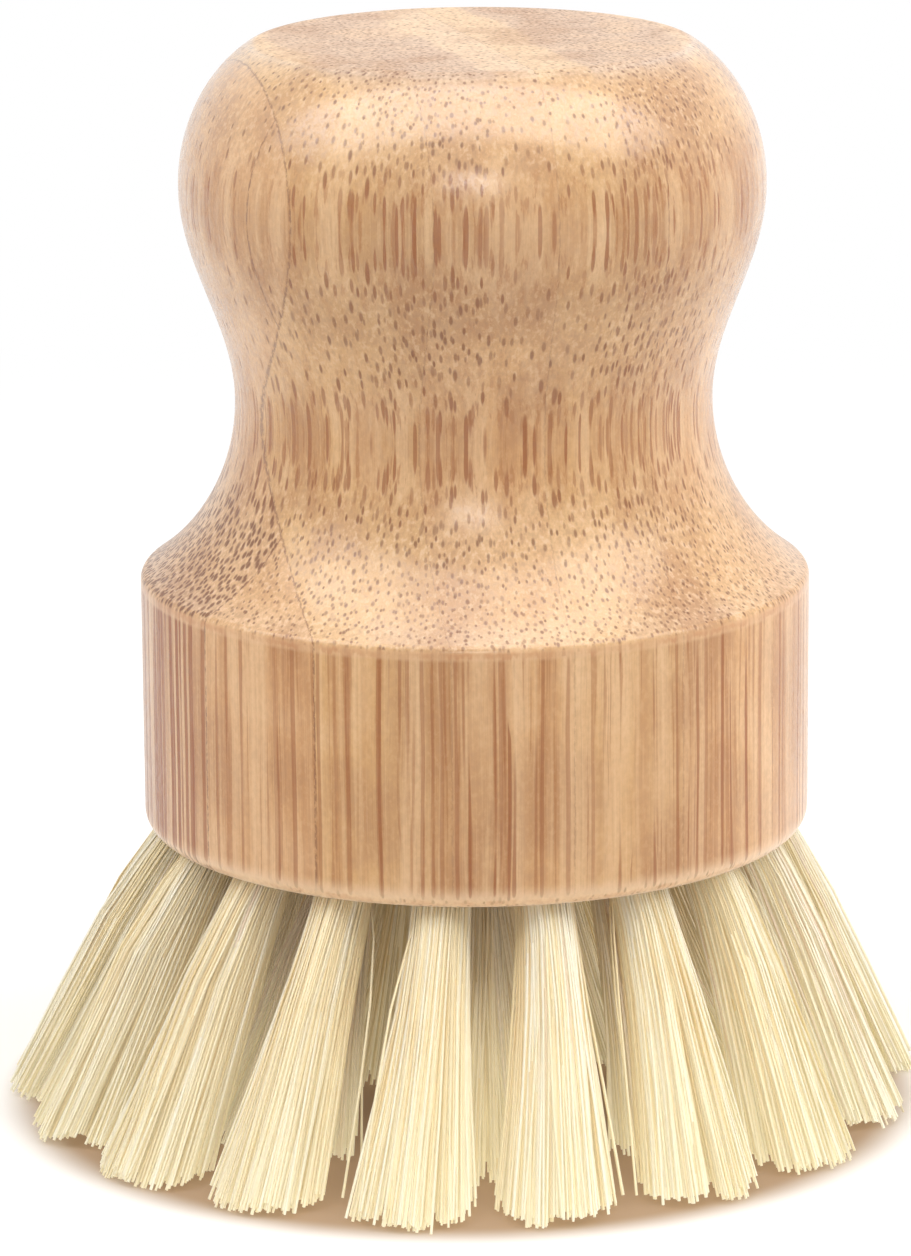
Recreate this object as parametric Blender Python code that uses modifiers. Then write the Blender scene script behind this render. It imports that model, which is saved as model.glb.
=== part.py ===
# Round palm brush for dishes: a turned bamboo block with plant-fibre tufts stapled into leaning holes.
# Metres, +Z up. The origin lies on the surface that the fibre tips stand on, under the middle of the block.

import random
from math import asin, atan2, cos, hypot, pi, radians, sin, sqrt, tan

import bmesh
import bpy
from mathutils import Matrix, Vector

# Turned block, from its flat underside up to the flat top of its knob
HEAD_RADIUS = 0.0250
WALL_HEIGHT = 0.0190
BASE_ROUND = 0.0014
RIM_ROUND = 0.0008
FLARE_RADIUS = 0.0156
NECK_RADIUS = 0.01775
WAIST_RISE = 0.0160
KNOB_RADIUS = 0.0217
CROWN_RISE = 0.0107
CROWN_CUT = 0.0011
TOP_RADIUS = 0.0159
TOP_EDGE = 0.0008

# Drilled hole, folded bundle and staple
HOLE_RADIUS = 0.0022
HOLE_DEPTH = 0.0090
CLEARANCE = 0.0003
STUB = 0.0008
FOLD_INSET = 0.0001
WIRE_RADIUS = 0.0003
STAPLE_LEG = 0.0070
STAPLE_BEND = 0.0005
LEG_SHOULDER = 0.00015

# Rings of holes: number of tufts, how far each leans outwards, and where its first tuft stands
OUTER_COUNT = 18
OUTER_LEAN = radians(27.5)
OUTER_START = radians(-97)
EDGE_MARGIN = 0.00005
MIDDLE_COUNT = 8
MIDDLE_LEAN = radians(22)
MIDDLE_START = radians(-88)
INNER_COUNT = 3
INNER_LEAN = radians(11)
INNER_START = radians(-80)
INNER_RING = 0.0055

# Fibres below the block: how far they stand out, how wide a tuft fans at its tips, and its strands
BRISTLE_DROP = 0.0208
FAN_ACROSS = 0.0037
FAN_OUTWARD = 0.0033
STRAND_INSET = 0.00057
STRAND_ROOT = 0.00034
STRAND_TIP = 0.00065
RAGGED = 0.0008
RAGGED_SEED = 5
STRAND_RINGS = ((1, 0.0), (5, 0.52), (9, 1.0))

# Fineness of the turned, drilled and bent shapes
TURNING_STEPS = 48
EDGE_STEPS = 2
CROWN_STEPS = 5
WAIST_STEPS = 7
FLARE_STEPS = 6
ROUND_STEPS = 3
HOLE_SIDES = 10
FOLD_SIDES = 12
WIRE_SIDES = 6
STRAND_SIDES = 3
SMOOTH_BELOW = radians(40)
WELD = 0.00001
OVERCUT = 0.002

# Worked out from the sizes above
BUNDLE_RADIUS = HOLE_RADIUS - CLEARANCE
FOLD_RADIUS = BUNDLE_RADIUS - FOLD_INSET
CROWN_LIFT = HOLE_DEPTH - CLEARANCE - FOLD_RADIUS
TUNNEL_RADIUS = WIRE_RADIUS + CLEARANCE
LEG_OFFSET = HOLE_RADIUS - LEG_SHOULDER - TUNNEL_RADIUS
FOLD_WIDTH = 2 * (LEG_OFFSET - WIRE_RADIUS - CLEARANCE)
LEG_TOP = CROWN_LIFT + STAPLE_LEG
OUTER_RING = HEAD_RADIUS - BASE_ROUND - EDGE_MARGIN - HOLE_RADIUS / cos(OUTER_LEAN)
MIDDLE_RING = (OUTER_RING + INNER_RING) / 2


# Scene, collections and materials

def clear_scene():
    for old in list(bpy.data.objects):
        bpy.data.objects.remove(old, do_unlink=True)


def new_collection(name):
    made = bpy.data.collections.new(name)
    bpy.context.scene.collection.children.link(made)
    return made


def new_material(name, colour, roughness, metallic=0.0):
    made = bpy.data.materials.new(name)
    made.use_nodes = True
    shader = made.node_tree.nodes["Principled BSDF"]
    shader.inputs["Base Color"].default_value = (*colour, 1.0)
    shader.inputs["Roughness"].default_value = roughness
    shader.inputs["Metallic"].default_value = metallic
    made.diffuse_color = (*colour, 1.0)
    return made


def place(name, data, collection, matrix=None, parent=None):
    made = bpy.data.objects.new(name, data)
    collection.objects.link(made)
    made.parent = parent
    if matrix is not None:
        made.matrix_world = matrix
    return made


def mesh_of(name, bm):
    mesh = bpy.data.meshes.new(name)
    bm.to_mesh(mesh)
    bm.free()
    return mesh


def add_cylinder(bm, radius, low, high, sides, matrix):
    middle = Matrix.Translation((0, 0, (low + high) / 2))
    bmesh.ops.create_cone(bm, cap_ends=True, segments=sides, radius1=radius, radius2=radius,
                          depth=high - low, matrix=matrix @ middle)


# Turned block

def arc(centre, radius, start, end, steps):
    # points (distance from the axis, height) on part of a circle
    turns = [start + (end - start) * i / steps for i in range(steps + 1)]
    return [(centre[0] + radius * cos(turn), centre[1] + radius * sin(turn)) for turn in turns]


def crown_outline(knob_height):
    # part of an ellipse that stands on the knob's widest line, cut off by the flat top with a soft edge
    height = CROWN_RISE + CROWN_CUT
    top_turn = asin(CROWN_RISE / height)
    depth = (KNOB_RADIUS - TOP_RADIUS) / (1 - cos(top_turn))
    edge_turn = top_turn - TOP_EDGE / hypot(depth * sin(top_turn), height * cos(top_turn))

    def on_ellipse(turn):
        return Vector((KNOB_RADIUS - depth + depth * cos(turn), knob_height + height * sin(turn)))

    corner = Vector((TOP_RADIUS, knob_height + CROWN_RISE))
    first = corner - Vector((TOP_EDGE, 0))
    last = on_ellipse(edge_turn)
    outline = []
    for i in range(EDGE_STEPS):
        t = i / EDGE_STEPS
        outline.append(first * (1 - t) ** 2 + corner * 2 * t * (1 - t) + last * t ** 2)
    for i in range(CROWN_STEPS + 1):
        outline.append(on_ellipse(edge_turn * (1 - i / CROWN_STEPS)))
    return [(point.x, point.y) for point in outline]


def waist_outline(knob_height):
    # an even swing from the knob's widest line in to the neck
    outline = []
    for i in range(1, WAIST_STEPS + 1):
        share = i / WAIST_STEPS
        swing = (1 + cos(pi * share)) / 2
        radius = NECK_RADIUS + (KNOB_RADIUS - NECK_RADIUS) * swing
        outline.append((radius, knob_height - WAIST_RISE * share))
    return outline


def block_outline():
    # half outline from the middle of the top, down the outer side, to the middle of the underside
    rim_centre = (HEAD_RADIUS - RIM_ROUND, WALL_HEIGHT)
    flare_out = NECK_RADIUS + FLARE_RADIUS - rim_centre[0]
    flare_up = sqrt((FLARE_RADIUS + RIM_ROUND) ** 2 - flare_out ** 2)
    flare_centre = (rim_centre[0] + flare_out, WALL_HEIGHT + flare_up)
    knob_height = flare_centre[1] + WAIST_RISE
    top_height = knob_height + CROWN_RISE

    # the flare is a hollow round, from the neck to where it meets the small round of the rim
    rim_turn = atan2(flare_up, flare_out)
    flare = arc(flare_centre, FLARE_RADIUS, pi, pi + rim_turn, FLARE_STEPS)
    rim = arc(rim_centre, RIM_ROUND, rim_turn, 0, ROUND_STEPS)
    base = arc((HEAD_RADIUS - BASE_ROUND, BASE_ROUND), BASE_ROUND, 0, -pi / 2, ROUND_STEPS)
    sides = crown_outline(knob_height) + waist_outline(knob_height) + flare[1:] + rim[1:] + base
    return [(0, top_height)] + sides + [(0, 0)]


def turned_block(collection, parent, material):
    bm = bmesh.new()
    points = [bm.verts.new((radius, 0, height)) for radius, height in block_outline()]
    for upper, lower in zip(points, points[1:]):
        bm.edges.new((upper, lower))
    lifted = Matrix.Translation((0, 0, BRISTLE_DROP))
    block = place("handle_block", mesh_of("handle_block", bm), collection, lifted, parent)
    block.data.materials.append(material)
    screw = block.modifiers.new("turning", "SCREW")
    screw.axis = "Z"
    screw.angle = 2 * pi
    screw.steps = screw.render_steps = TURNING_STEPS
    screw.use_merge_vertices = True
    screw.merge_threshold = WELD
    screw.use_smooth_shade = True
    return block


def drill(block, cutters):
    cut = block.modifiers.new("drilling", "BOOLEAN")
    cut.operation = "DIFFERENCE"
    cut.operand_type = "COLLECTION"
    cut.collection = cutters


# Tuft: a bundle packed in its hole, folded over the staple's crown, and fanned into strands below the block.
# Its mesh is drawn from the middle of the hole's mouth, +X outwards from the block's axis and +Z up.

def leaning(lean, crown_turn=0.0):
    # the hole's own frame, +Z into the wood and +X along the staple's crown
    return Matrix.Rotation(-lean, 4, "Y") @ Matrix.Rotation(crown_turn, 4, "Z")


def bundle_mesh(frame):
    bm = bmesh.new()
    shoulder = CROWN_LIFT - TUNNEL_RADIUS - CLEARANCE
    add_cylinder(bm, BUNDLE_RADIUS, -STUB, shoulder, HOLE_SIDES, frame)
    return mesh_of("bundle", bm)


def along_crown(name, radius, width, sides, frame):
    # a round piece that lies along the staple's crown
    bm = bmesh.new()
    lying = Matrix.Translation((0, 0, CROWN_LIFT)) @ Matrix.Rotation(pi / 2, 4, "Y")
    add_cylinder(bm, radius, -width / 2, width / 2, sides, frame @ lying)
    return mesh_of(name, bm)


def add_strand(bm, root, tip, lift):
    # one strand, whose end is cut level: on the surface that the brush stands on, or a little above it
    along = tip - root
    aim = along.to_track_quat("Z", "Y").to_matrix().to_4x4()
    made = bmesh.ops.create_cone(bm, cap_ends=True, segments=STRAND_SIDES, radius1=STRAND_ROOT,
                                 radius2=STRAND_TIP, depth=along.length,
                                 matrix=Matrix.Translation((root + tip) / 2) @ aim)
    way = along.normalized()
    for corner in made["verts"]:
        if (corner.co - tip).length < (corner.co - root).length:
            corner.co += way * ((lift - BRISTLE_DROP - corner.co.z) / way.z)


def strands_mesh(lean):
    # rings of strands that keep their order from root to tip, so that none crosses another
    bm = bmesh.new()
    chance = random.Random(RAGGED_SEED)
    frame = leaning(lean)
    spread = BUNDLE_RADIUS - STRAND_INSET
    reach = BRISTLE_DROP * tan(lean)
    for count, share in STRAND_RINGS:
        for i in range(count):
            turn = 2 * pi * (i + share / 2) / count
            outward = share * cos(turn)
            across = share * sin(turn)
            root = frame @ Vector((spread * outward, spread * across, 0))
            tip = Vector((reach + FAN_OUTWARD * outward, FAN_ACROSS * across, -BRISTLE_DROP))
            lift = RAGGED * chance.random() if i % 2 else 0.0
            add_strand(bm, root, tip, lift)
    return mesh_of("strands", bm)


def combined(name, base, steps, collection):
    # the base mesh with each (operation, mesh) applied to it
    work = place(name + "_work", base, collection)
    helpers = [work]
    for operation, mesh in steps:
        helper = place(name + "_helper", mesh, collection)
        helpers.append(helper)
        step = work.modifiers.new(mesh.name, "BOOLEAN")
        step.operation = operation
        step.object = helper
    graph = bpy.context.evaluated_depsgraph_get()
    made = bpy.data.meshes.new_from_object(work.evaluated_get(graph))
    made.name = name
    for helper in helpers:
        bpy.data.objects.remove(helper, do_unlink=True)
    return made


def tuft_mesh(name, lean, crown_turn, collection, material):
    frame = leaning(lean, crown_turn)
    fold = along_crown("fold", FOLD_RADIUS, FOLD_WIDTH, FOLD_SIDES, frame)
    tunnel = along_crown("tunnel", TUNNEL_RADIUS, FOLD_WIDTH + OVERCUT, WIRE_SIDES, frame)
    steps = (("UNION", fold), ("DIFFERENCE", tunnel), ("UNION", strands_mesh(lean)))
    made = combined(name, bundle_mesh(frame), steps, collection)
    made.materials.clear()
    made.materials.append(material)
    made.shade_smooth()
    made.set_sharp_from_angle(angle=SMOOTH_BELOW)
    return made


# Staple: a bent wire in the hole's own frame, its crown across the fold and its legs on into the wood

def staple_wire(material):
    side = LEG_OFFSET
    bend = CROWN_LIFT + STAPLE_BEND
    path = ((-side, LEG_TOP), (-side, bend), (STAPLE_BEND - side, CROWN_LIFT),
            (side - STAPLE_BEND, CROWN_LIFT), (side, bend), (side, LEG_TOP))
    wire = bpy.data.curves.new("staple", "CURVE")
    wire.dimensions = "3D"
    wire.bevel_depth = WIRE_RADIUS
    wire.bevel_resolution = (WIRE_SIDES - 4) // 2
    wire.use_fill_caps = True
    wire.materials.append(material)
    line = wire.splines.new("POLY")
    line.points.add(len(path) - 1)
    for point, (x, z) in zip(line.points, path):
        point.co = (x, 0, z, 1)
    return wire


def drill_meshes():
    # the hole for the bundle, and the two narrow holes that the staple's legs make in the wood
    hole = bmesh.new()
    add_cylinder(hole, HOLE_RADIUS, -OVERCUT, HOLE_DEPTH, HOLE_SIDES, Matrix.Identity(4))
    meshes = [mesh_of("hole_cutter", hole)]
    for side in (-LEG_OFFSET, LEG_OFFSET):
        leg = bmesh.new()
        add_cylinder(leg, TUNNEL_RADIUS, HOLE_DEPTH - OVERCUT, LEG_TOP + CLEARANCE, WIRE_SIDES,
                     Matrix.Translation((side, 0, 0)))
        meshes.append(mesh_of("leg_cutter", leg))
    return meshes


# Assembly

def ring_places(count, ring, start):
    # the middle of each hole's mouth, +X outwards from the block's axis
    for i in range(count):
        out = Matrix.Rotation(start + 2 * pi * i / count, 4, "Z")
        yield i + 1, out @ Matrix.Translation((ring, 0, BRISTLE_DROP))


def build_brush():
    clear_scene()
    parts = new_collection("round_dish_brush")
    cutters = new_collection("cutters")
    bamboo = new_material("bamboo", (0.60, 0.38, 0.20), 0.45)
    fibre = new_material("plant_fibre", (0.78, 0.67, 0.42), 0.70)
    steel = new_material("staple_steel", (0.55, 0.55, 0.56), 0.35, 1.0)

    brush = place("brush", None, parts)
    block = turned_block(parts, brush, bamboo)
    wire = staple_wire(steel)
    drills = drill_meshes()
    rings = (
        ("outer", OUTER_COUNT, OUTER_RING, OUTER_LEAN, OUTER_START, 0.0),
        ("middle", MIDDLE_COUNT, MIDDLE_RING, MIDDLE_LEAN, MIDDLE_START, 0.0),
        ("inner", INNER_COUNT, INNER_RING, INNER_LEAN, INNER_START, pi / 2),
    )
    for name, count, ring, lean, start, crown_turn in rings:
        tuft = tuft_mesh(name + "_tuft", lean, crown_turn, parts, fibre)
        for number, spot in ring_places(count, ring, start):
            into_wood = spot @ leaning(lean, crown_turn)
            place(f"{name}_tuft_{number:02d}", tuft, parts, spot, brush)
            place(f"{name}_staple_{number:02d}", wire, parts, into_wood, brush)
            for cutter_mesh in drills:
                cutter = place(f"{name}_drill_{number:02d}", cutter_mesh, cutters, into_wood)
                cutter.hide_render = True
                cutter.display_type = "WIRE"
    drill(block, cutters)


build_brush()
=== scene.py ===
# Round dish brush: the looks of its turned bamboo block, its folded fibre tufts and its steel staples
import random
from math import asin, atan2, cos, hypot, pi, radians, sin, sqrt, tan

import bmesh
import bpy
from mathutils import Matrix, Vector


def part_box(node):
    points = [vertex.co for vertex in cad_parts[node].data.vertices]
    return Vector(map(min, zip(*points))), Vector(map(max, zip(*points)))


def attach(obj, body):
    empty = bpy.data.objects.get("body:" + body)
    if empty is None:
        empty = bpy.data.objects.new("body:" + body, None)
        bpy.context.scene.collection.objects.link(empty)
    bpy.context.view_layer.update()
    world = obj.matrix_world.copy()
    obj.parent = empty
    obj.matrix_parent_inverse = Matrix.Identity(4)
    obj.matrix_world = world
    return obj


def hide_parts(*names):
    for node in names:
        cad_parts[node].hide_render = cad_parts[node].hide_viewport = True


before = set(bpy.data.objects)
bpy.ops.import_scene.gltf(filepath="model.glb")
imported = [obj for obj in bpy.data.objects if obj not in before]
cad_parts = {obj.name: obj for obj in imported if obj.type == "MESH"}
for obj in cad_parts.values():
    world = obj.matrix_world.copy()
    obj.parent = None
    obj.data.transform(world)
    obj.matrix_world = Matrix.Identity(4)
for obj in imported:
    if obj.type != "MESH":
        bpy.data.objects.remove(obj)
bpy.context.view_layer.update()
woodLow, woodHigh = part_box("handle_block")
mm = 0.001
woodFoot = woodLow.z / mm    # the block's underside and its top, in mm above the floor
woodTop = woodHigh.z / mm
print("frame loaded:", len(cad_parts), "nodes")


# Shader maths: a wrapped socket whose arithmetic adds Math nodes

class Value:
    def __init__(self, finish, socket):
        self.finish = finish
        self.socket = socket

    def maths(self, operation, *others):
        return self.finish.node("Math", {"operation": operation}, dict(enumerate((self, *others))))

    def twin(self, output):  # another output of the same node
        return Value(self.finish, self.socket.node.outputs[output])

    def __add__(self, other):
        return self.maths("ADD", other)

    def __sub__(self, other):
        return self.maths("SUBTRACT", other)

    def __rsub__(self, other):
        return self.finish.node("Math", {"operation": "SUBTRACT"}, {0: other, 1: self})

    def __mul__(self, other):
        return self.maths("MULTIPLY", other)

    def __truediv__(self, other):
        return self.maths("DIVIDE", other)

    __radd__ = __add__
    __rmul__ = __mul__


class Finish:
    def __init__(self, owner, shader="Principled BSDF"):  # the owner is a material or the world
        owner.use_nodes = True
        self.owner = owner
        self.tree = owner.node_tree
        self.shader = self.tree.nodes[shader]

    def node(self, kind, settings=None, sockets=None, output=0):
        made = self.tree.nodes.new("ShaderNode" + kind)
        for name, value in (settings or {}).items():
            if name == "stops":
                self.fillRamp(made.color_ramp, value)
            else:
                setattr(made, name, value)
        for name, value in (sockets or {}).items():
            self.feed(made.inputs[name], value)
        return Value(self, made.outputs[output])

    def feed(self, target, value):
        if isinstance(value, Value):
            self.tree.links.new(value.socket, target)
        else:
            target.default_value = value

    def fillRamp(self, ramp, stops):
        while len(ramp.elements) < len(stops):
            ramp.elements.new(1)
        for element, (position, colour) in zip(ramp.elements, stops):
            element.position = position
            element.color = colour

    def smooth(self, value, low, high):  # 0 below low, 1 above high, eased between
        settings = {"interpolation_type": "SMOOTHSTEP"}
        return self.node("MapRange", settings, {0: value, "From Min": low, "From Max": high})

    def mix(self, share, first, second):
        return self.node("Mix", {"data_type": "RGBA"}, {0: share, 6: first, 7: second}, 2)

    def split(self, vector):
        first = self.node("SeparateXYZ", {}, {0: vector})
        return first, first.twin(1), first.twin(2)

    def join(self, x, y, z):
        return self.node("CombineXYZ", {}, {0: x, 1: y, 2: z})

    def noise(self, vector, detail, roughness, output=0):
        fed = {"Vector": vector, "Scale": 1.0, "Detail": detail, "Roughness": roughness}
        return self.node("TexNoise", {}, fed, output)

    def place(self):  # where a point is on the brush, in millimetres
        return self.node("VectorMath", {"operation": "SCALE"},
                         {0: self.node("TexCoord", output="Object"), "Scale": 1 / mm})

    def reach(self, x, y):  # how far a point is from the brush's axis
        return (x * x + y * y).maths("SQRT")

    def rays(self, first, *others):  # 1 on rays of any of these kinds, 0 on all others
        ray = self.node("LightPath", output=f"Is {first} Ray")
        found = ray
        for kind in others:
            found = found.maths("MAXIMUM", ray.twin(f"Is {kind} Ray"))
        return found

    def wear(self, **sockets):  # onto the shader that the owner comes with
        for name, value in sockets.items():
            self.feed(self.shader.inputs[name.replace("_", " ")], value)

    def swap(self, surface):  # another shader in its place
        self.feed(self.tree.nodes["Material Output"].inputs["Surface"], surface)
        self.tree.nodes.remove(self.shader)


def paint(red, green, blue):  # a colour as a picture program gives it
    return tuple(((c / 255 + 0.055) / 1.055) ** 2.4 for c in (red, green, blue)) + (1.0,)


# Finished pieces

def finished(name, bm, material, sharpAbove=None):
    for face in bm.faces:
        face.smooth = True
    mesh = bpy.data.meshes.new(name)
    bm.to_mesh(mesh)
    bm.free()
    mesh.materials.append(material)
    if sharpAbove:
        mesh.set_sharp_from_angle(angle=radians(sharpAbove))
    piece = bpy.data.objects.new(name, mesh)
    bpy.context.scene.collection.objects.link(piece)
    return piece


# Turned bamboo block, in millimetres above its underside

block = {
    "headRadius": 25.0,
    "wallHeight": 19.0,
    "baseRound": 1.4,
    "rimRound": 0.8,
    "flareRadius": 15.6,
    "neckRadius": 17.75,
    "waistRise": 16.0,
    "knobRadius": 21.7,
    "crownRise": 10.7,
    "crownCut": 1.1,
    "topRadius": 15.9,
    "topEdge": 0.8,
    "steps": {"topEdge": 6, "crown": 20, "waist": 24, "flare": 22, "rim": 7, "base": 8},
    "turns": 192,
    "drillSides": 28,
    "drillOver": 2.0,         # how far the drill starts below the underside
    "sharpAbove": 40,         # degrees
}

bamboo = {
    "grainTurn": 16.0,        # degrees that the glue lines are turned from the view
    "stripThick": 8.7,
    "firstGlue": 0.1,
    "leftJoint": -9.4,        # where two pieces meet in the outermost strip on the left
    "rightJoint": 6.0,        # and in the outer strips on the right
    "coarseCells": 0.78,      # mm between the fibre bundles
    "fineCells": 0.54,        # and where they crowd under the cane's skin
    "wallFrom": (23.0, 24.2),    # mm from the axis, over which the straight wall begins
    "pieceEnds": (42, 60),       # mm above the floor, over which the outermost pieces' bundles even out
    "knobShadeFrom": (60, 64),        # and over which the band of painted shade under the knob's widest line begins and ends
    "knobShadeTo": (69, 74),
    "sideGrain": paint(210, 158, 104),
    "endGrain": paint(211, 165, 113),
    "topGrain": paint(232, 204, 174),
    "pinkStrip": paint(208, 162, 126),
    "yellowStrip": paint(218, 178, 120),
    "skinSide": paint(176, 134, 98),
    "skinTop": paint(200, 171, 150),
    # painted shade on the knob's downward-facing lower half
    "knobShadeTone": paint(168, 126, 84),
    "cloudDark": paint(170, 120, 78),
    "cloudPale": paint(232, 192, 148),
    "columnDark": paint(180, 122, 72),
    "columnPale": paint(230, 190, 146),
    "streakDark": paint(164, 100, 46),
    "streakPale": paint(236, 198, 152),
    "hairline": paint(172, 120, 76),
    "grainDark": paint(164, 122, 84),
    "grainPale": paint(248, 220, 188),
    # painted highlight along the rounded rim
    "rimHighlight": paint(226, 184, 142),
    "basePale": paint(244, 210, 172),
    "bundleEnd": paint(108, 58, 18),
    "bundleLine": paint(146, 76, 22),
    "glue": paint(128, 80, 46),
    "burnt": paint(186, 112, 56),
}


def arc(centre, radius, start, end, steps):
    turns = [start + (end - start) * i / steps for i in range(steps + 1)]
    return [(centre[0] + radius * cos(turn), centre[1] + radius * sin(turn)) for turn in turns]


def blockOutline():
    b = block
    steps = b["steps"]
    rimCentre = (b["headRadius"] - b["rimRound"], b["wallHeight"])
    flareOut = b["neckRadius"] + b["flareRadius"] - rimCentre[0]
    flareUp = sqrt((b["flareRadius"] + b["rimRound"]) ** 2 - flareOut ** 2)
    flareCentre = (rimCentre[0] + flareOut, b["wallHeight"] + flareUp)
    knobHeight = flareCentre[1] + b["waistRise"]
    top = knobHeight + b["crownRise"]

    # the crown is part of an ellipse, cut off by the flat top with a soft edge
    height = b["crownRise"] + b["crownCut"]
    topTurn = asin(b["crownRise"] / height)
    depth = (b["knobRadius"] - b["topRadius"]) / (1 - cos(topTurn))
    edgeTurn = topTurn - b["topEdge"] / hypot(depth * sin(topTurn), height * cos(topTurn))
    crown = []
    for i in range(steps["crown"], -1, -1):
        turn = edgeTurn * i / steps["crown"]
        crown.append((b["knobRadius"] - depth + depth * cos(turn), knobHeight + height * sin(turn)))
    corner = Vector((b["topRadius"], top))
    inner = corner - Vector((b["topEdge"], 0))
    edge = []
    for i in range(steps["topEdge"]):
        t = i / steps["topEdge"]
        bent = inner * (1 - t) ** 2 + corner * 2 * t * (1 - t) + Vector(crown[0]) * t * t
        edge.append(tuple(bent))

    # the waist swings evenly from the knob's widest line in to the neck
    waist = []
    for i in range(1, steps["waist"] + 1):
        swing = (1 + cos(pi * i / steps["waist"])) / 2
        waist.append((b["neckRadius"] + (b["knobRadius"] - b["neckRadius"]) * swing,
                      knobHeight - b["waistRise"] * i / steps["waist"]))
    rimTurn = atan2(flareUp, flareOut)
    flare = arc(flareCentre, b["flareRadius"], pi, pi + rimTurn, steps["flare"])
    rim = arc(rimCentre, b["rimRound"], rimTurn, 0, steps["rim"])
    baseCentre = (b["headRadius"] - b["baseRound"], b["baseRound"])
    base = arc(baseCentre, b["baseRound"], 0, -pi / 2, steps["base"])
    flatTop = [(0, top), (b["topRadius"] * 0.5, top)]
    return flatTop + edge + crown + waist + flare[1:] + rim[1:] + base + [(0, 0)]


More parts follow.
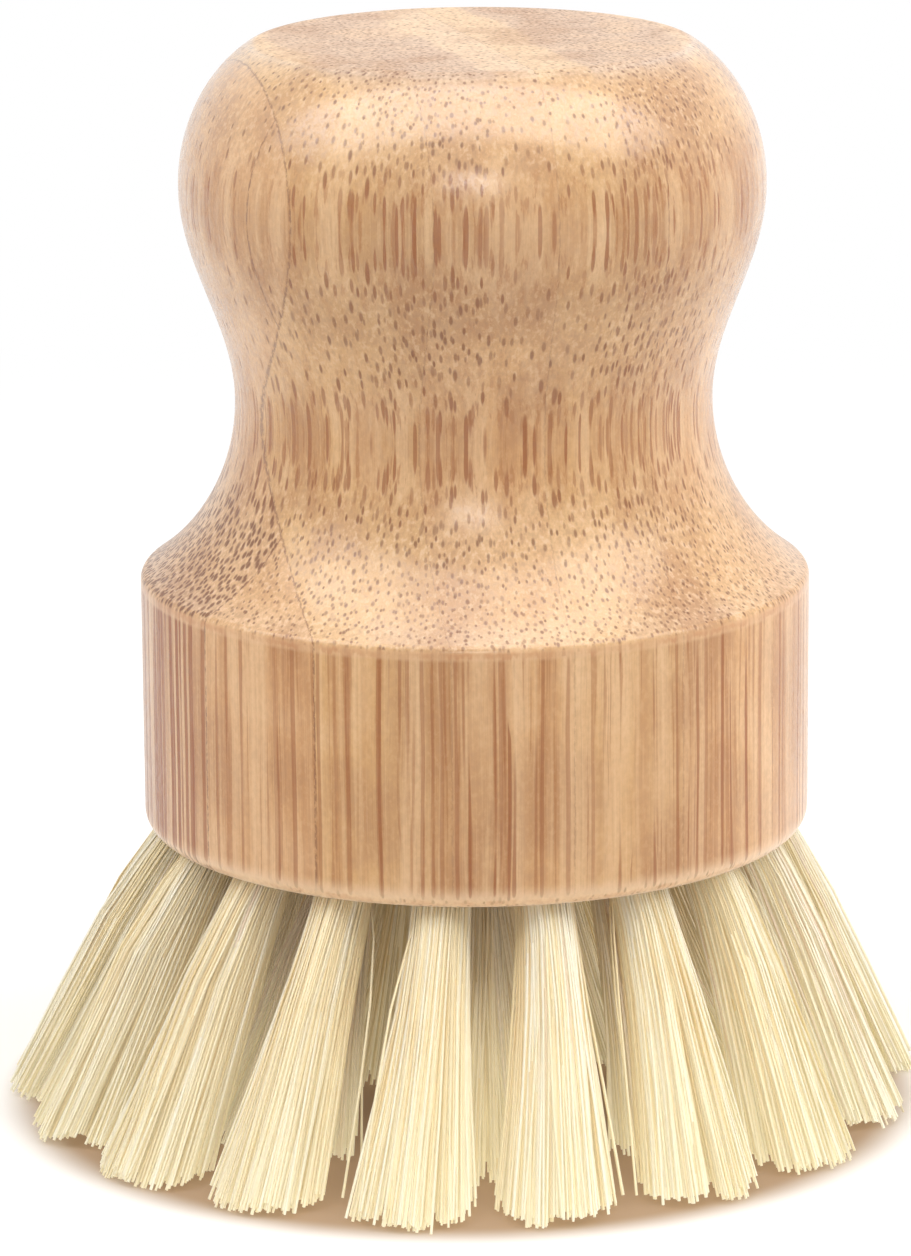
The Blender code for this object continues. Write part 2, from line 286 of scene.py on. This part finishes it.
def bambooFinish():
    f = Finish(bpy.data.materials.new("bamboo"))
    look = bamboo
    place = f.place()
    x, y, z = f.split(place)

    # the fibres drift a little as they rise, so that some lines begin and end on the wall
    slow = f.node("VectorMath", {"operation": "MULTIPLY"}, {0: place, 1: (0.16, 0.16, 0.055)})
    driftX, driftY, driftZ = f.split(f.noise(slow, 1.0, 0.5, "Color"))
    turn = radians(look["grainTurn"])
    flatAcross = x * cos(turn) + y * sin(turn)
    flatAlong = y * cos(turn) - x * sin(turn)
    across = flatAcross + (driftX - 0.5) * 0.6
    along = flatAlong + (driftY - 0.5) * 0.6

    # strips: which one, how far into it, and the two pieces of the outermost ones
    strips = (flatAcross - look["firstGlue"]) / look["stripThick"]
    number = strips.maths("FLOOR")
    inside = strips - number
    outermost = number.maths("LESS_THAN", -2.5)
    leftPiece = flatAlong.maths("GREATER_THAN", look["leftJoint"]) * outermost
    rightPiece = number.maths("GREATER_THAN", 1.5) * flatAlong.maths("GREATER_THAN", look["rightJoint"])
    half = leftPiece + rightPiece
    chance = f.node("TexWhiteNoise", {"noise_dimensions": "2D"},
                    {"Vector": f.join(number + 40, half, 0)}, "Color")
    yellowness, pinkness = f.split(chance)[:2]

    # neighbours lie skin to skin, and the bundles crowd on the skin's side
    flip = (number * 0.5).maths("FRACT") * 2
    crowd = inside + (1 - inside * 2) * flip
    lowDown = 1 - f.smooth(z, *look["pieceEnds"])
    crowd = crowd + half * lowDown * 0.6 - (outermost - leftPiece) * 0.7 + (driftZ - 0.5) * 0.5
    dense = f.smooth(crowd, 0.36, 0.74)
    facing = f.split(f.node("NewGeometry", output="Normal"))[2].maths("ABSOLUTE")
    ends = f.smooth(facing, 0.06, 0.50)  # end grain shows where the turned surface cuts across the fibres
    level = f.smooth(facing, 0.70, 0.98)
    side = 1 - ends * 0.8

    shift = number * 5.37 + half * 2.11
    cellX = across + shift
    cellY = along + shift * 1.7

    def bundles(cell, least, spread, share):
        spot = f.join(cellX / cell, cellY / cell, 0)
        settings = {"voronoi_dimensions": "2D", "feature": "F1"}
        found = f.node("TexVoronoi", settings, {"Vector": spot, "Scale": 1.0, "Randomness": 0.85})
        own, tint, kept = f.split(found.twin("Color"))
        edge = (own * spread + least + leftPiece * lowDown * 0.08) * (1 + side * 0.20)
        eased = f.smooth(found * cell / edge, side * 0.35 + 0.25, 1.0)
        there = f.smooth(share - kept, -0.02, 0.02)
        return (1 - eased) * there * (tint * 0.5 + 0.5 + leftPiece * lowDown * 0.4)

    bare = outermost - leftPiece * lowDown
    rimZ = woodFoot + block["wallHeight"]
    shoulder = f.smooth(z, rimZ - 0.4, rimZ + 0.4) * lowDown
    fine = bundles(look["fineCells"], 0.11, 0.07, dense.maths("MAXIMUM", shoulder * 0.7))
    coarse = bundles(look["coarseCells"], 0.12, 0.09, 0.94 - dense * 0.24 - bare * 0.5)
    dots = fine.maths("MAXIMUM", coarse)

    # ground tissue: long soft streaks on the sides, fine grains on the ends
    columns = f.noise(f.join(across * 0.55 + 9, along * 0.55, z * 0.02), 1.0, 0.5)
    streaky = f.noise(f.join(across * 2.3, along * 2.3, z * 0.03), 3.0, 0.6)
    hairline = f.noise(f.join(across * 8, along * 8, z * 0.14), 2.0, 0.5)
    grains = f.noise(f.join(cellX * 2.6, cellY * 2.6, z * 1.6), 3.0, 0.65)
    cloud = f.noise(f.join(x * 0.14, y * 0.14, z * 0.11), 3.0, 0.55)
    # painted shade: a darker band below the knob's widest line, where its surface faces down
    knobShade = f.smooth(z, *look["knobShadeFrom"]) * (1 - f.smooth(z, *look["knobShadeTo"]))

    # the lines of the wall stop just short of its rounded rim, and a pale band there is a painted highlight
    # along the rim
    onWall = f.smooth(f.reach(x, y), *look["wallFrom"])
    # painted highlight: a pale band over the top of the wall and the rim's lower arc, where the lines also
    # stop
    rimBand = f.smooth(z, rimZ - 0.60, rimZ - 0.25) * (1 - f.smooth(z, rimZ + 0.10, rimZ + 0.40)) * onWall
    dots = dots * (1 - rimBand * 0.7)

    ground = f.mix(ends, look["sideGrain"], look["endGrain"])
    for share, colour in (
            (level, "topGrain"),
            (pinkness * 0.35, "pinkStrip"),
            (f.smooth(yellowness, 0.2, 0.8) * 0.35, "yellowStrip"),
            (dense * 0.25, "skinSide"),
            (f.smooth(crowd, 0.36, 0.48) * level * 0.70, "skinTop"),
            # painted shade under the knob's widest line
            (knobShade * 0.36, "knobShadeTone"),
            (f.smooth(cloud, 0.45, 0.64) * 0.48, "cloudDark"),
            (f.smooth(0.50 - cloud, 0.0, 0.16) * 0.34, "cloudPale"),
            (f.smooth(columns, 0.50, 0.62) * side * 0.32, "columnDark"),
            (f.smooth(0.50 - columns, 0.0, 0.14) * side * 0.40, "columnPale"),
            (f.smooth(streaky, 0.56, 0.62) * side * 0.50, "streakDark"),
            (f.smooth(0.50 - streaky, 0.0, 0.16) * side * 0.32, "streakPale"),
            (f.smooth(hairline, 0.50, 0.70) * side * 0.22, "hairline"),
            (f.smooth(grains, 0.48, 0.68) * (ends * 0.30 + 0.12), "grainDark"),
            (f.smooth(0.50 - grains, 0.0, 0.16) * (ends * 0.26 + 0.08), "grainPale"),
            # painted highlight along the rim
            (rimBand * 0.45, "rimHighlight")):
        ground = f.mix(share, ground, look[colour])
    bundle = f.mix(ends, look["bundleLine"], look["bundleEnd"])
    wood = f.mix((dots * (0.76 + ends * 0.06)).maths("MINIMUM", 0.88), ground, bundle)

    # glue lines
    glueGap = (inside - 0.5).maths("ABSOLUTE")
    glue = f.smooth(glueGap, 0.5 - 0.11 / look["stripThick"], 0.5 - 0.02 / look["stripThick"])
    jointGap = (flatAlong - look["leftJoint"]).maths("ABSOLUTE")
    glue = glue.maths("MAXIMUM", (1 - f.smooth(jointGap, 0.03, 0.12)) * outermost)
    gluey = f.smooth(flatAcross, -12, -14) * 0.40 + 0.26  # the joint on the left is the darkest
    gluey = gluey * (f.smooth(grains, 0.42, 0.56) * 0.75 + 0.30)
    wood = f.mix(glue * gluey, wood, look["glue"])

    # the two turned edges, which the tool has burnished, and a paler band along the foot of the wall
    rimGap = (z - rimZ + 0.05 + (streaky - 0.5) * 0.9 + (grains - 0.5) * 0.6).maths("ABSOLUTE")
    baseGap = (z - woodFoot - 0.45 + (streaky - 0.5) * 0.8).maths("ABSOLUTE")
    rimLine = (1 - f.smooth(rimGap, 0.05, 0.34)) * onWall
    baseLine = (1 - f.smooth(baseGap, 0.1, 0.4)) * onWall
    patches = f.noise(f.join(x * 0.45, y * 0.45, 4), 3.0, 0.7)
    strength = f.smooth(patches, 0.40, 0.60) * 0.85 + f.smooth(grains, 0.46, 0.60) * 0.25
    # the wall is paler over its lowest two millimetres
    lowEdge = (1 - f.smooth(z, woodFoot + 0.4, woodFoot + 2.1)) * onWall
    wood = f.mix(lowEdge * (0.86 - dots * 0.4), wood, look["basePale"])
    wood = f.mix((rimLine * 0.36 + baseLine * 0.30) * strength, wood, look["burnt"])

    # relief and oil: the flat top is only sanded
    height = dots * -0.03 + (streaky - 0.5) * 0.02 + (hairline - 0.5) * 0.01
    height = height + (grains - 0.5) * (ends * 0.04 + 0.01) + (cloud - 0.5) * 0.03 - glue * 0.012
    bump = f.node("Bump", {}, {"Strength": 0.5, "Distance": mm, "Height": height})
    sanded = f.smooth(z, woodTop - 0.5, woodTop - 0.1) * f.smooth(facing, 0.9, 0.99)
    rough = 0.42 + dots * 0.14 + (grains - 0.5) * 0.16 + (cloud - 0.5) * 0.06 + sanded * 0.45
    rimGloss = (z - rimZ - 0.4).maths("ABSOLUTE")
    dull = (1 - f.smooth(rimGloss, 0.3, 0.9)) * onWall * 0.2
    oiled = (f.smooth(grains, 0.44, 0.56) * 0.6 + 0.4) * (1 - dull)
    oiled = oiled * (1 - lowDown * 0.42) * (1 - sanded)
    f.wear(Base_Color=wood, Roughness=rough, Normal=bump, Coat_Weight=oiled)
    f.wear(Specular_IOR_Level=0.25, Coat_Roughness=0.2, Sheen_Weight=0.34, Sheen_Roughness=0.4)
    return f.owner


def bambooBlock(material):
    bm = bmesh.new()
    points = [bm.verts.new((radius * mm, 0, woodLow.z + up * mm)) for radius, up in blockOutline()]
    edges = [bm.edges.new(pair) for pair in zip(points, points[1:])]
    bmesh.ops.spin(bm, geom=points + edges, cent=(0, 0, 0), axis=(0, 0, 1), dvec=(0, 0, 0),
                   angle=2 * pi, steps=block["turns"], use_merge=True)
    bmesh.ops.remove_doubles(bm, verts=bm.verts[:], dist=0.002 * mm)
    bmesh.ops.recalc_face_normals(bm, faces=bm.faces[:])
    turned = finished("bamboo_turned", bm, material, block["sharpAbove"])

    # the holes that the tufts are stapled into
    bm = bmesh.new()
    over = block["drillOver"]
    depth = tuft["holeDepth"] + over
    for ring in tuft["rings"].values():
        for number in range(ring["count"]):
            hole = ringPlace(ring, number) @ leaning(ring)
            bmesh.ops.create_cone(bm, cap_ends=True, segments=block["drillSides"],
                                  radius1=tuft["holeRadius"] * mm, radius2=tuft["holeRadius"] * mm,
                                  depth=depth * mm,
                                  matrix=hole @ Matrix.Translation((0, 0, (depth / 2 - over) * mm)))
    drills = finished("bamboo_drills", bm, material, block["sharpAbove"])
    cut = turned.modifiers.new("drilling", "BOOLEAN")
    cut.operation = "DIFFERENCE"
    cut.object = drills
    graph = bpy.context.evaluated_depsgraph_get()
    mesh = bpy.data.meshes.new_from_object(turned.evaluated_get(graph))
    mesh.name = "bamboo_block"
    for helper in (turned, drills):
        bpy.data.objects.remove(helper, do_unlink=True)
    mesh.shade_smooth()
    mesh.set_sharp_from_angle(angle=radians(block["sharpAbove"]))
    piece = bpy.data.objects.new("bamboo_block", mesh)
    bpy.context.scene.collection.objects.link(piece)
    return piece


# Fibre tufts, in millimetres
# Each fibre is folded once over its staple, and both its ends stand out of the hole

tuft = {
    "holeRadius": 2.2,
    "holeDepth": 9.0,
    "packed": 2.05,
    "crownLift": 6.9,
    "foldInner": 0.50,
    "foldOuter": 1.70,
    "foldHalfWidth": 0.75,
    "thick": 0.205,
    "sides": 3,
    "outsideSteps": 4,
    "clumps": 26,
    "crowding": 0.38,         # below a half, more of the fibres stand on the outside of their tuft
    "scatter": 0.11,
    "cutLeast": 0.05,         # how much shorter than the longest the fibres are cut
    "cutSpread": 0.48,
    "cutByClump": 0.7,
    "bend": 0.22,             # share of a fibre's length that still follows its hole
    "belly": 0.8,
    "stray": 0.018,           # share of the fibres that bow out of their tuft
    "bowOut": (0.1, 0.9),
    "bowAside": (-2.8, 2.8),
    "waveWidth": (0.03, 0.14),
    "waveCount": (0.5, 1.6),
    "habits": {               # how far one tuft may differ from its neighbours
        "clumping": (0.40, 0.62),
        "spread": (0.94, 1.06),
        "outShift": (-0.2, 0.2),
        "acrossShift": (-0.3, 0.3),
        "tone": (-0.12, 0.12),
    },
    "skirtLean": 1.25,        # how far the outer ring's tips all lean to the left
    "skirtLeanMore": 1.15,    # and how much further those on the right do
    "reachLimit": 35.62,
    "depthLimit": 35.50,
    "rings": {
        "outer": {"count": 18, "ring": 21.07, "lean": 27.5, "start": -97, "crownTurn": 0, "pairs": 320,
                  "across": 4.35, "outward": 3.9, "furtherOut": 0.1, "seed": 11},
        "middle": {"count": 8, "ring": 13.285, "lean": 22.0, "start": -88, "crownTurn": 0, "pairs": 320,
                   "across": 8.0, "outward": 4.4, "furtherOut": 0.6, "seed": 47},
        "inner": {"count": 3, "ring": 5.5, "lean": 11.0, "start": -80, "crownTurn": 90, "pairs": 220,
                  "across": 6.0, "outward": 6.0, "furtherOut": 0.0, "seed": 83},
    },
}

fibre = {
    "tones": ((0.0, paint(238, 214, 166)), (0.25, paint(248, 230, 184)), (0.5, paint(251, 239, 206)),
              (0.75, paint(253, 245, 222)), (0.9, paint(244, 224, 200)), (1.0, paint(228, 204, 170))),
    "blotch": paint(240, 214, 160),
    "speck": paint(216, 188, 144),
    # painted shade: greyer fibres near their roots, where the block and the other fibres shade them
    "root": paint(214, 200, 172),
    # painted shade for the inner tufts, which stand under the block
    "innerFibreShade": paint(226, 192, 164),
    # painted light: paler fibre ends, where the fanned tips catch more light
    "tip": paint(255, 248, 216),
}

staple = {
    "pale": paint(198, 198, 200),
    "dark": paint(150, 150, 154),
}


def leaning(ring):
    # the hole's own frame, +Z into the wood and +X along the staple's crown
    lean = Matrix.Rotation(radians(-ring["lean"]), 4, "Y")
    return lean @ Matrix.Rotation(radians(ring["crownTurn"]), 4, "Z")


def ringPlace(ring, number):
    # the middle of a hole's mouth, +X outwards from the block's axis
    turn = radians(ring["start"] + 360 / ring["count"] * number)
    out = Matrix.Rotation(turn, 4, "Z")
    return out @ Matrix.Translation((ring["ring"] * mm, 0, woodLow.z))


def straightTube(steps):
    # one tube of unit thickness along +Z, with a ring of corners at each whole height
    bm = bmesh.new()
    bmesh.ops.create_cone(bm, cap_ends=True, segments=tuft["sides"], radius1=1, radius2=1, depth=steps,
                          matrix=Matrix.Translation((0, 0, steps / 2)))
    upright = [edge for edge in bm.edges if abs(edge.verts[0].co.z - edge.verts[1].co.z) > 0.5]
    bmesh.ops.subdivide_edges(bm, edges=upright, cuts=steps - 1, use_grid_fill=True)
    for cap in [face for face in bm.faces if abs(face.normal.z) > 0.9]:
        for edge in cap.edges:
            edge.smooth = False  # or the cut would shade the end of its fibre
    mesh = bpy.data.meshes.new("straight_tube")
    bm.to_mesh(mesh)
    bm.free()
    return mesh


def discPoint(chance):
    turn = 2 * pi * chance.random()
    reach = sqrt(chance.random())
    return Vector((reach * cos(turn), reach * sin(turn)))


def randomWave(chance):
    # how wide a fibre sways, how many times, and where in its swing it starts
    return chance.uniform(*tuft["waveWidth"]), chance.uniform(*tuft["waveCount"]), chance.uniform(0, 2 * pi)


def sway(wave, t):
    width, count, start = wave
    return width * t * sin(2 * pi * count * t + start)


def fibreEnd(ring, frameIn, packed, chance, clumps, habit):
    # points from a fibre's tip, near the ground, up to the mouth of its hole
    turn = radians(ring["crownTurn"])
    flat = Vector((packed.x * cos(turn) - packed.y * sin(turn), packed.x * sin(turn) + packed.y * cos(turn)))
    flat += Vector((chance.gauss(0, tuft["scatter"]), chance.gauss(0, tuft["scatter"])))
    clump = min(clumps, key=lambda c: (c[0] - flat).length)
    flat = flat.lerp(clump[0], habit["clumping"] * chance.uniform(0.2, 1.0))
    cut = tuft["cutLeast"] + abs(chance.gauss(0, tuft["cutSpread"])) + clump[1] * tuft["cutByClump"]

    reach = woodFoot * tan(radians(ring["lean"])) + ring["furtherOut"] + habit["outShift"]
    tip = Vector((reach + ring["outward"] * flat.x, ring["across"] * habit["spread"] * flat.y
                  + habit["acrossShift"], -woodFoot))
    root = frameIn @ Vector((packed.x * tuft["packed"], packed.y * tuft["packed"], 0))
    tip = tip + (root - tip).normalized() * cut
    into = frameIn.to_3x3() @ Vector((0, 0, 1))
    bend = root - into * (tip - root).length * tuft["bend"]
    bow = Vector((0, 0, 0))
    if chance.random() < tuft["stray"]:
        bow = Vector((chance.uniform(*tuft["bowOut"]), chance.uniform(*tuft["bowAside"]), 0))
        tip += bow * 0.5
    waveX = randomWave(chance)
    waveY = randomWave(chance)
    points = []
    for i in range(tuft["outsideSteps"]):
        t = 1 - i / tuft["outsideSteps"]
        point = root * (1 - t) ** 2 + bend * 2 * t * (1 - t) + tip * t * t
        point += bow * 2 * t * (1 - t)
        point.x += habit["belly"] * max(0, flat.x) * (4 * t * (1 - t)) ** 2
        point.x += sway(waveX, t)
        point.y += sway(waveY, t)
        points.append(point)
    return points + [root], clump[2]


def fibrePath(ring, frameIn, chance, clumps, habit, number):
    # both ends of one folded fibre, joined by the bend over the staple
    reach = ((number + 0.5) / ring["pairs"]) ** tuft["crowding"]
    turn = pi * ((number * 0.618034) % 1.0)  # golden steps, so that no two fibres stand in line
    packed = Vector((reach * cos(turn), reach * sin(turn)))
    mirrored = Vector((packed.x, -packed.y))
    first, tone = fibreEnd(ring, frameIn, packed, chance, clumps, habit)
    second = fibreEnd(ring, frameIn, mirrored, chance, clumps, habit)[0]
    deep = tuft["foldInner"] + (tuft["foldOuter"] - tuft["foldInner"]) * packed.y
    fold = []
    for angle in (10, 90, 170):
        fold.append(frameIn @ Vector((packed.x * tuft["foldHalfWidth"], deep * cos(radians(angle)),
                                      tuft["crownLift"] + deep * sin(radians(angle)))))
    return first + fold + second[::-1], tone


def ringHabit(name, ring, number, chance):
    turn = radians(ring["start"] + 360 / ring["count"] * number)
    habit = {way: chance.uniform(*span) for way, span in tuft["habits"].items()}
    habit["belly"] = tuft["belly"] * (1 - 0.5 * cos(turn))
    if name == "outer":
        sideways = -(tuft["skirtLean"] + tuft["skirtLeanMore"] * cos(turn))
        habit["outShift"] += sideways * cos(turn)
        habit["acrossShift"] += sideways * -sin(turn)
    return habit


def insideReach(point):
    reach = hypot(point.x, point.y)
    limit = tuft["reachLimit"] * mm
    if reach > limit:
        point = Vector((point.x * limit / reach, point.y * limit / reach, point.z))
    deep = tuft["depthLimit"] * mm
    point.y = min(deep, max(-deep, point.y))
    return point


def tuftPiece(name, ring, number, material, tube):
    chance = random.Random(ring["seed"] + number)
    habit = ringHabit(name, ring, number, chance)
    spot = ringPlace(ring, number)
    frameIn = leaning(ring)
    clumps = [(discPoint(chance), chance.random(), chance.random()) for i in range(tuft["clumps"])]
    crownWay = (spot @ frameIn).to_3x3() @ Vector((1, 0, 0))
    bm = bmesh.new()
    toneLayer = bm.verts.layers.float.new("fibreTone")
    runLayer = bm.verts.layers.float.new("fibreRun")
    for i in range(ring["pairs"]):
        path, lockTone = fibrePath(ring, frameIn, chance, clumps, habit, i)
        path = [insideReach(spot @ (point * mm)) for point in path]
        tone = min(1.0, max(0.0, lockTone * 0.45 + chance.random() * 0.55 + habit["tone"]))
        thick = tuft["thick"] / 2 * mm * chance.uniform(0.80, 1.18)
        last = len(path) - 1
        rings = []
        for k, point in enumerate(path):
            ahead = path[min(k + 1, last)] - path[max(k - 1, 0)]
            ahead.normalize()
            side = (crownWay - ahead * crownWay.dot(ahead)).normalized()
            run = max(0.0, 1 - min(k, last - k) / tuft["outsideSteps"])
            swell = thick * (0.88 + 0.36 * run)  # the cut ends are the thicker ends
            rings.append((point, side * swell, ahead.cross(side) * swell, run))
        before = len(bm.verts)
        bm.from_mesh(tube)
        bm.verts.ensure_lookup_table()
        for vert in bm.verts[before:]:
            point, side, over, run = rings[round(vert.co.z)]
            vert.co = point + side * vert.co.x + over * vert.co.y
            vert.co.z = max(vert.co.z, 0.0)
            vert[toneLayer] = tone
            vert[runLayer] = run
    return finished(f"{name}_fibres_{number + 1:02d}", bm, material)


def fibreFinish():
    f = Finish(bpy.data.materials.new("plant_fibre"))
    look = fibre
    tone = f.node("Attribute", {"attribute_name": "fibreTone"}, {}, "Fac")
    run = f.node("Attribute", {"attribute_name": "fibreRun"}, {}, "Fac")  # 0 in the hole, 1 at the tip
    x, y, z = f.split(f.place())
    blotch = f.noise(f.join(x * 0.9 + tone * 31, y * 0.9, z * 0.22), 2.0, 0.6)
    speck = f.noise(f.join(x * 6 + tone * 17, y * 6, z * 1.4), 2.0, 0.6)
    # painted shade: the fibres nearest the axis, under the block, are darker
    innerFibreShade = 1 - f.smooth(f.reach(x, y), 18.5, 23.0)
    colour = f.node("ValToRGB", {"stops": look["tones"]}, {0: tone})
    colour = f.mix(f.smooth(blotch, 0.46, 0.72) * 0.24, colour, look["blotch"])
    colour = f.mix(f.smooth(speck, 0.52, 0.75) * 0.14, colour, look["speck"])
    # painted shade near the roots
    colour = f.mix((1 - f.smooth(run, 0.0, 0.30)) * 0.12, colour, look["root"])
    # painted shade on the inner fibres
    colour = f.mix(innerFibreShade * 0.16, colour, look["innerFibreShade"])
    # painted light: the fibres turn paler towards their tips
    colour = f.mix(f.smooth(run, 0.40, 1.0) * 0.45, colour, look["tip"])
    f.wear(Base_Color=colour, Roughness=speck * 0.15 + 0.42)
    f.wear(IOR=1.45, Sheen_Weight=0.25, Sheen_Roughness=0.5)
    return f.owner


def stapleFinish():
    f = Finish(bpy.data.materials.new("staple_wire"))
    x, y, z = f.split(f.place())
    drawn = f.noise(f.join(x * 9, y * 9, z * 0.8), 3.0, 0.6)
    colour = f.mix(f.smooth(drawn, 0.35, 0.75), staple["pale"], staple["dark"])
    f.wear(Base_Color=colour, Roughness=drawn * 0.25 + 0.22, Metallic=1.0)
    return f.owner


# Assembly

bambooMaterial = bambooFinish()
blockPiece = bambooBlock(bambooMaterial)
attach(blockPiece, "root")
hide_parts("handle_block")
print("block:", len(blockPiece.data.polygons), "faces")

fibreMaterial = fibreFinish()
tube = straightTube(2 * tuft["outsideSteps"] + 4)
faces = 0
for name, ring in tuft["rings"].items():
    for number in range(ring["count"]):
        piece = tuftPiece(name, ring, number, fibreMaterial, tube)
        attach(piece, "root")
        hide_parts(f"{name}_tuft_{number + 1:02d}")
        piece.visible_shadow = False  # light shines through such thin pale fibres
        faces += len(piece.data.polygons)
bpy.data.meshes.remove(tube)
print("tufts:", faces, "faces")

stapleMaterial = stapleFinish()
for name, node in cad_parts.items():
    if "staple" in name:
        for spot in node.material_slots:
            spot.material = stapleMaterial
        if not node.material_slots:
            node.data.materials.append(stapleMaterial)
print("staples finished")


# Floor, light and camera

studio = {
    "floorHalf": 3.0,
    "paper": paint(252, 250, 248),
    "bounce": (0.86, 0.85, 0.84, 1),    # how the floor looks to the light that comes off it
    "whiteFrom": (0.05, 0.28),          # m from the brush, over which the floor turns to plain white
    "shade": paint(168, 143, 118),      # on the floor among the tips, reaching a little forward
    "shadeAt": (-0.0010, -0.0026),
    "shadeEdge": (0.0312, 0.0362),
    "fill": 0.40,
    # glow is how bright a lamp looks, 1 is white; some light only the gloss, some only the colour
    "lamps": {
        "overhead": {"at": (0.0, -0.33, 1.05), "aim": (0.0, -0.33, 0.0), "size": (2.8, 0.92),
                     "glow": 2.3, "lights": ("colour", "gloss")},
        "sheet": {"at": (0.0, -0.33, 1.04), "aim": (0.0, -0.33, 0.0), "size": (4.2, 0.92),
                  "glow": 3.4, "lights": ("gloss",)},
        "front": {"at": (0.0, -0.92, 0.44), "aim": (0.0, 0.0, 0.05), "size": (0.34, 0.18),
                  "glow": 9.0, "lights": ("gloss",)},
        "right": {"at": (0.98, 0.38, 0.30), "aim": (0.0, 0.0, 0.05), "size": (0.9, 0.8),
                  "glow": 3.1, "lights": ("colour",)},
        "left": {"at": (-0.95, 0.30, 0.40), "aim": (0.0, 0.0, 0.05), "size": (0.9, 0.8),
                 "glow": 0.6, "lights": ("colour",)},
    },
}


def floorFinish():
    f = Finish(bpy.data.materials.new("studio_floor"))
    x, y = f.split(f.node("TexCoord", output="Object"))[:2]
    glow = f.smooth(f.reach(x, y), *studio["whiteFrom"])
    shadeX, shadeY = studio["shadeAt"]
    under = f.smooth(f.reach(x - shadeX, y - shadeY), *studio["shadeEdge"])
    near = f.node("BsdfDiffuse", {}, {"Color": f.mix(under, studio["shade"], studio["paper"])})
    far = f.node("Emission", {}, {"Color": (1, 1, 1, 1), "Strength": 1.0})
    plain = f.node("BsdfDiffuse", {}, {"Color": studio["bounce"]})
    pictured = f.node("MixShader", {}, {0: glow, 1: near, 2: far})
    seen = f.rays("Camera", "Glossy", "Transmission")
    above = f.node("MixShader", {}, {0: seen, 1: plain, 2: pictured})
    fromBelow = f.node("NewGeometry", output="Backfacing")
    f.swap(f.node("MixShader", {}, {0: fromBelow, 1: above, 2: f.node("BsdfTransparent")}))
    return f.owner


def studioFloor():
    bm = bmesh.new()
    bmesh.ops.create_grid(bm, x_segments=2, y_segments=2, size=studio["floorHalf"])
    floor = finished("studio_floor", bm, floorFinish())


def studioLamp(name, settings):
    lamp = bpy.data.lights.new(name + "_lamp", "AREA")
    lamp.shape = "RECTANGLE"
    lamp.size, lamp.size_y = settings["size"]
    lamp.energy = settings["glow"] * pi * lamp.size * lamp.size_y
    holder = bpy.data.objects.new(name + "_lamp", lamp)
    holder.location = settings["at"]
    way = Vector(settings["aim"]) - Vector(settings["at"])
    holder.rotation_euler = way.to_track_quat("-Z", "Y").to_euler()
    holder.visible_glossy = "gloss" in settings["lights"]
    holder.visible_diffuse = "colour" in settings["lights"]
    bpy.context.scene.collection.objects.link(holder)


def studioWorld():
    world = bpy.data.worlds.new("studio")
    bpy.context.scene.world = world
    f = Finish(world, "Background")
    seen = f.rays("Camera", "Glossy")
    f.wear(Color=(1, 1, 1, 1), Strength=seen * (1 - studio["fill"]) + studio["fill"])


view = {
    "away": 457.1,       # mm from the brush's axis, towards the front
    "aside": -1.48,
    "up": 151.8,
    "pitch": 14.275,
    "roll": 0.42,
    "lens": 180.03,
    "sensor": 36,
}


def studioCamera():
    lens = bpy.data.cameras.new("camera")
    lens.lens = view["lens"]
    lens.sensor_width = view["sensor"]
    holder = bpy.data.objects.new("camera", lens)
    bpy.context.scene.collection.objects.link(holder)
    place = Matrix.Translation((view["aside"] * mm, -view["away"] * mm, view["up"] * mm))
    pitch = Matrix.Rotation(radians(90 - view["pitch"]), 4, "X")
    roll = Matrix.Rotation(radians(-view["roll"]), 4, "Z")
    holder.matrix_world = place @ pitch @ roll
    bpy.context.scene.camera = holder


studioFloor()
for name, settings in studio["lamps"].items():
    studioLamp(name, settings)
studioWorld()
studioCamera()
bpy.context.scene.view_settings.view_transform = "Standard"
